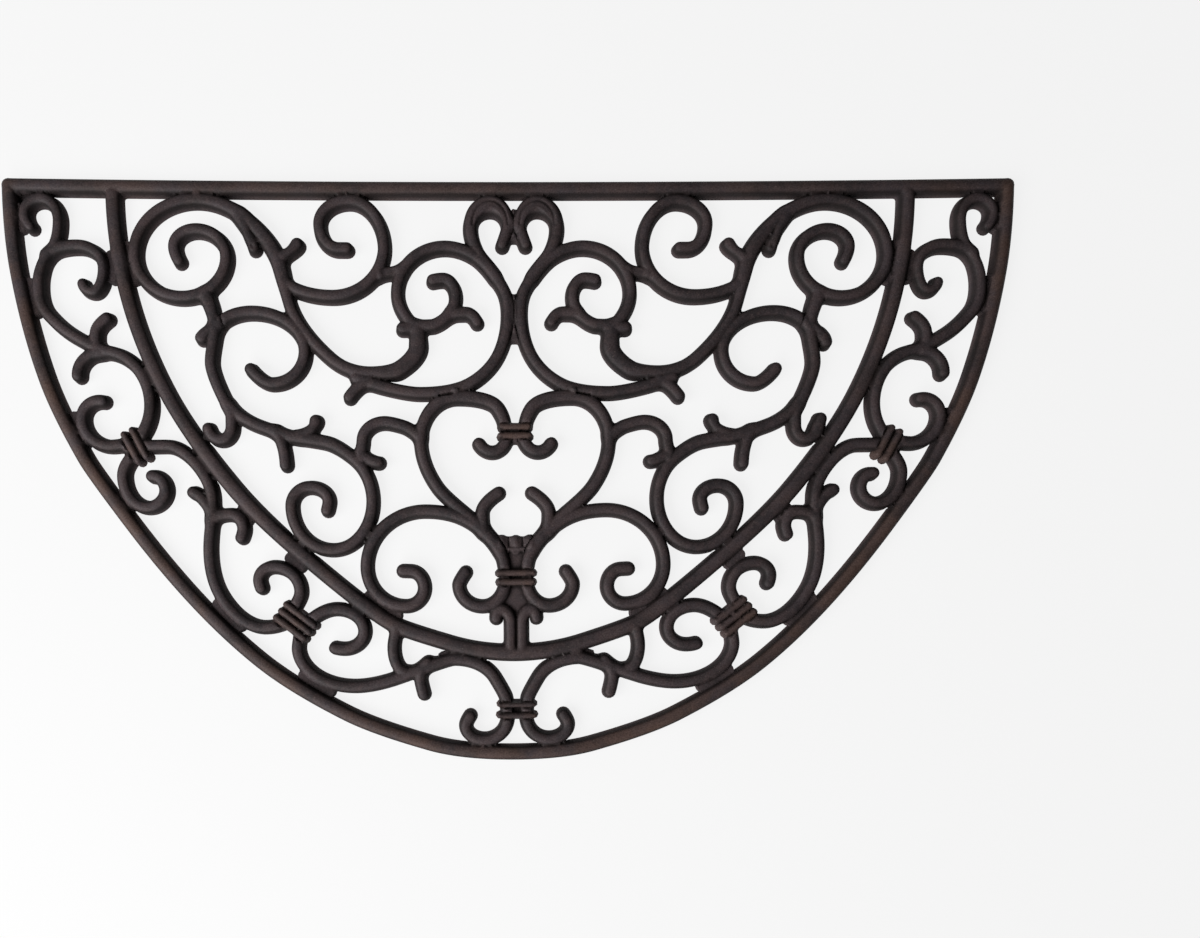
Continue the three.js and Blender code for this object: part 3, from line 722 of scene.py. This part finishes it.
def top_face(solid, bars, ribs, raised, crease, folds):
    """Points (x, y) and triangles of the top: rings near every edge and grids of points between."""
    rim = contour(solid, DRAFT, OUTLINE_STEP)
    off_bars = solid + FAR_OUTSIDE * (bars > 0)
    sets = [np.concatenate(rim)]
    sets += [along(ribs, depth, RIB_STEP, solid, RIB_CLEARANCE) for depth in RIB_DEPTHS]
    sets += [along(bars, depth, SHOULDER_STEP, solid, SHOULDER_CLEARANCE) for depth in (0, DRAFT)]
    sets += [along(raised, depth, SHOULDER_STEP, off_bars, SHOULDER_CLEARANCE) for depth in (0, RAMP)]
    sets += [np.concatenate(contour(solid, depth, OUTLINE_STEP)) for depth in RING_DEPTHS]
    plates = (raised > -1) & (bars < 0.5)
    fine = crease | plates | (ribs > -0.5) | (np.abs(folds) > 0.05)
    sets.append(grid(DETAIL_STEP, fine & (solid > DETAIL_DEPTH)))
    sets.append(grid(INNER_STEP, solid > INNER_DEPTH))
    return triangulated(spaced(sets), ring_edges(rim))


def shades_at(flat, z, whole, solid, bars, ribs):
    """Three shades of each point of the top, as columns from 0 to 1.

    Hollow: painted shade, how far the top lies under the blurred top around it, less on the webs. Bronze:
    where the rubber is rubbed brown, on the border bars and the collars. Flank: painted shade, 1 on the
    outline falling to 0 at flank width inside it, less on the webs.
    """
    # Painted shade: the colour goes dark where the top lies below its blurred surroundings.
    hollow_shade = np.clip((sample(blurred(whole, HOLLOW_SHADE_SPREAD), flat) - z) / HOLLOW_SHADE_DEPTH, 0, 1)
    hollow_shade *= np.interp(z, [WEB_HEIGHT, LOW_PLATE_HEIGHT], [WEB_HOLLOW_SHADE, 1])
    bronze = COLLAR_BRONZE * np.clip(sample(ribs, flat) + 0.5, 0, 1)
    for line, level in zip(bar_lines(), BORDER_BRONZE):
        border = blank(FAR_OUTSIDE)
        area, border[area], _ = line_fields(*line)
        bronze = np.maximum(bronze, level * np.clip(sample(border, flat), 0, 1))
    # Painted shade: the colour goes dark near the outline, down the sides of the bars.
    flank_shade = np.clip((FLANK_SHADE_WIDTH - sample(solid, flat)) / (FLANK_SHADE_WIDTH - DRAFT), 0, 1)
    flank_shade *= np.interp(sample(bars, flat), [-0.5, 0.5], [WEB_FLANK_SHADE, 1])
    return np.column_stack([hollow_shade, bronze, flank_shade])


def mat_mesh():
    """Points in millimetres, triangles and shades of the whole mat: top, walls and flat underside.

    A wall goes down from every edge that only one triangle of the top has, to the same edge moved
    out on the floor. The underside lies between those. Foot points keep the bronze shade alone.
    """
    lines = bar_lines()
    fillets = [CORNER_FILLET] * len(RIM_BARS) + [FILLET] * (len(lines) - len(RIM_BARS))
    bars, share, crease = joined_fields(lines, fillets)
    lines = rib_lines()
    ribs, rib_share, _ = joined_fields(lines, [RIB_FILLET] * len(lines))
    low, low_height, raised = low_fields()
    folds = fold_field()
    solid = smooth_max(smooth_max(bars, ribs, RIB_FILLET), low, LOW_FILLET)

    flat, top = top_face(solid, bars, ribs, raised, crease, folds)
    fields = bars, share, ribs, rib_share, low_height, folds
    z = surface(*[sample(field, flat) for field in fields])
    whole = np.where(solid > DRAFT, surface(*fields), 0)
    shades = shades_at(flat, z, whole, solid, bars, ribs)

    sides = np.concatenate([top[:, [0, 1]], top[:, [1, 2]], top[:, [2, 0]]])
    code, back = sides @ [len(flat), 1], sides @ [1, len(flat)]
    open_sides = sides[~np.isin(code, back)]
    edge_points, numbers = np.unique(open_sides, return_inverse=True)
    numbers = numbers.reshape(-1, 2)
    _, bottom = triangulated(flat[edge_points], numbers)
    foot = downhill(solid, flat[edge_points])
    a, b = open_sides.T
    lower_a, lower_b = (numbers + len(flat)).T
    walls = [np.stack([a, lower_a, lower_b], axis=1), np.stack([a, lower_b, b], axis=1)]
    faces = np.concatenate([top, *walls, bottom[:, ::-1] + len(flat)])
    points = np.vstack([np.column_stack([flat, z]), np.column_stack([foot, np.zeros(len(foot))])])
    return points, faces, np.vstack([shades, shades[edge_points] * [0, 1, 0]])


def linear(code):
    """sRGB hex code as linear red, green, blue and alpha."""
    parts = [int(code[k : k + 2], 16) / 255 for k in (1, 3, 5)]
    return [*[p / 12.92 if p <= 0.04045 else ((p + 0.055) / 1.055) ** 2.4 for p in parts], 1]


def add(tree, kind, output=0, settings=None, **sockets):
    """One output of a new node. Each socket, given by name or by i and its number, is set or linked."""
    node = tree.nodes.new("ShaderNode" + kind)
    for name, value in (settings or {}).items():
        setattr(node, name, value)
    for name, value in sockets.items():
        socket = node.inputs[int(name[1:]) if name[1:].isdigit() else name.replace("_", " ")]
        if isinstance(value, bpy.types.NodeSocket):
            tree.links.new(value, socket)
        else:
            socket.default_value = value
    return node.outputs[output] if node.outputs else None


def rubber():
    """Moulded rubber: near black and warm, with a soft shine on the crowns that fades down the sides.

    It is rubbed brown along the border and on the collars. Painted shade darkens it to near black in creases
    and down the sides.
    """
    material = bpy.data.materials.new("moulded_rubber")
    material.use_nodes = True
    tree = material.node_tree
    tree.nodes.clear()
    place = add(tree, "TexCoord", "Object")
    spots = {
        name: add(tree, "TexNoise", Vector=place, Scale=1000 / size, Detail=detail, Roughness=0.55)
        for name, (size, detail) in PATTERNS.items()
    }
    bronze, flank_shade, hollow_shade = [
        add(tree, "Attribute", "Fac", {"attribute_name": name}) for name in ("bronze", "flank_shade", "hollow_shade")
    ]
    smooth, even = {"interpolation_type": "SMOOTHSTEP"}, {"interpolation_type": "LINEAR"}
    product, total = {"operation": "MULTIPLY"}, {"operation": "ADD"}
    blend, shade = {"data_type": "RGBA"}, {"data_type": "RGBA", "blend_type": "MULTIPLY"}

    # Mottled base: patches and blotches between near blacks.
    share = add(tree, "MapRange", 0, smooth, Value=spots["patches"], From_Min=0.35, From_Max=0.65)
    colour = add(tree, "Mix", 2, blend, i0=share, i6=linear("#3f3a3c"), i7=linear("#4f474a"))
    share = add(tree, "MapRange", 0, smooth, Value=spots["blotches"], From_Min=0.42, From_Max=0.62)
    share = add(tree, "Math", 0, product, i0=share, i1=0.5)
    colour = add(tree, "Mix", 2, blend, i0=share, i6=colour, i7=linear("#55494a"))
    # Bronze: the border and the collars, rubbed brown in streaks.
    bronze = add(tree, "Math", 0, total, i0=bronze, i1=LEAST_BRONZE)
    share = add(tree, "MapRange", 0, smooth, Value=spots["streaks"], From_Min=0.3, From_Max=0.75)
    share = add(tree, "Math", 0, product, i0=bronze, i1=share)
    colour = add(tree, "Mix", 2, blend, i0=share, i6=colour, i7=linear("#6b5347"))
    # Crumb: fine dark grains and light specks.
    share = add(tree, "MapRange", 0, even, Value=spots["grains"], From_Min=0.3, From_Max=0.7)
    grains = add(tree, "Mix", 2, blend, i0=share, i6=linear("#c6c2c2"), i7=linear("#ffffff"))
    colour = add(tree, "Mix", 2, shade, i0=1.0, i6=colour, i7=grains)
    share = add(tree, "MapRange", 0, smooth, Value=spots["specks"], From_Min=0.66, From_Max=0.74)
    share = add(tree, "Math", 0, product, i0=share, i1=0.3)
    colour = add(tree, "Mix", 2, blend, i0=share, i6=colour, i7=linear("#8a7e76"))
    # Flanks: painted shade, the colour darkened down the sides of the bars near the outline.
    share = add(tree, "MapRange", 0, smooth, Value=flank_shade, From_Min=0.0, From_Max=0.9)
    share = add(tree, "Math", 0, product, i0=share, i1=0.75)
    colour = add(tree, "Mix", 2, blend, i0=share, i6=colour, i7=linear("#0e0b0a"))
    # Hollows: painted shade, the colour darkened to near black in creases and the grooves beside ribs.
    share = add(tree, "Math", 0, product, i0=hollow_shade, i1=0.9)
    colour = add(tree, "Mix", 2, blend, i0=share, i6=colour, i7=linear("#100a08"))

    # Dull below 5.5 mm, a soft shine above 8.5 mm. Grit and low lumps catch the light.
    height = add(tree, "SeparateXYZ", "Z", Vector=place)
    levels = {"From_Min": 0.0055, "From_Max": 0.0085, "To_Min": 0.85, "To_Max": 0.5}
    roughness = add(tree, "MapRange", Value=height, **levels)
    lumps = add(tree, "Math", 0, product, i0=spots["lumps"], i1=1.5)
    skin = add(tree, "Math", 0, total, i0=spots["grit"], i1=lumps)
    bump = add(tree, "Bump", Strength=0.22, Distance=0.0004, Height=skin)
    finish = {"Base_Color": colour, "Roughness": roughness, "Specular_IOR_Level": 0.15, "Normal": bump}
    add(tree, "OutputMaterial", Surface=add(tree, "BsdfPrincipled", **finish))
    return material


def glowing_floor():
    """Matt grey that glows white from within like a light table, so the floor stays even and pale."""
    material = bpy.data.materials.new("floor_white")
    material.use_nodes = True
    shader = material.node_tree.nodes["Principled BSDF"]
    shader.inputs["Base Color"].default_value = linear("#555555")
    shader.inputs["Roughness"].default_value = 0.9
    shader.inputs["Emission Color"].default_value = (1, 1, 1, 1)
    shader.inputs["Emission Strength"].default_value = FLOOR_GLOW
    return material


def mesh_object(name, points, faces, material):
    """A mesh object from points in metres and faces that all have the same number of sides."""
    mesh = bpy.data.meshes.new(name)
    mesh.vertices.add(len(points))
    mesh.vertices.foreach_set("co", np.asarray(points, np.float32).ravel())
    mesh.loops.add(faces.size)
    mesh.loops.foreach_set("vertex_index", faces.astype(np.int32).ravel())
    mesh.polygons.add(len(faces))
    mesh.polygons.foreach_set("loop_start", np.arange(0, faces.size, faces.shape[1], np.int32))
    mesh.update(calc_edges=True)
    mesh.validate()
    mesh.materials.append(material)
    obj = bpy.data.objects.new(name, mesh)
    bpy.context.collection.objects.link(obj)
    return obj


def area_light(name, place, size, power):
    """A square soft light that looks at the middle of the mat."""
    light = bpy.data.lights.new(name, "AREA")
    light.size, light.energy = size, power
    obj = bpy.data.objects.new(name, light)
    obj.location = place
    obj.rotation_euler = (-mathutils.Vector(place)).to_track_quat("-Z", "Y").to_euler()
    bpy.context.collection.objects.link(obj)


# The mat, its box centred over the solid's box.
points, faces, shades = mat_mesh()
corners = [np.array(corner) * 1000 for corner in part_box("mat")]
plan = points[:, :2]
shift = (corners[0] + corners[1])[:2] / 2 - (plan.min(axis=0) + plan.max(axis=0)) / 2
points[:, :2] += shift
mat = mesh_object("mat_surface", points / 1000, faces, rubber())
mat.data.polygons.foreach_set("use_smooth", np.ones(len(faces), bool))
mat.data.set_sharp_from_angle(angle=math.radians(SHARP_ANGLE))
# The hollow and flank attributes carry painted shade; bronze is the rubbed brown wear.
for name, values in zip(("hollow_shade", "bronze", "flank_shade"), shades.T):
    mat.data.attributes.new(name, "FLOAT", "POINT").data.foreach_set("value", values.astype(np.float32))
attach(mat, "root")
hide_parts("mat")

# Pale floor that reaches past the picture on every side.
floor_corners = FLOOR_REACH * np.array([[-1, -1, 0], [1, -1, 0], [1, 1, 0], [-1, 1, 0]])
floor = mesh_object("floor", floor_corners, np.array([[0, 1, 2, 3]]), glowing_floor())

world = bpy.data.worlds.new("studio")
world.use_nodes = True
world.node_tree.nodes["Background"].inputs["Color"].default_value = (1, 1, 1, 1)
world.node_tree.nodes["Background"].inputs["Strength"].default_value = SKY
bpy.context.scene.world = world
for light in LIGHTS:
    area_light(*light)
bpy.context.scene.view_settings.view_transform = "Standard"

# Camera straight above the lower part of the mat, its frame shifted up to hold the whole mat.
camera = bpy.data.cameras.new("camera")
camera.lens, camera.sensor_width, camera.sensor_fit = LENS, 36, "HORIZONTAL"
camera.shift_x, camera.shift_y = FRAME_SHIFT
eye = bpy.data.objects.new("camera", camera)
eye.location = ((EYE[0] + shift[0]) / 1000, (EYE[1] + shift[1]) / 1000, EYE[2] / 1000)
bpy.context.collection.objects.link(eye)
bpy.context.scene.camera = eye
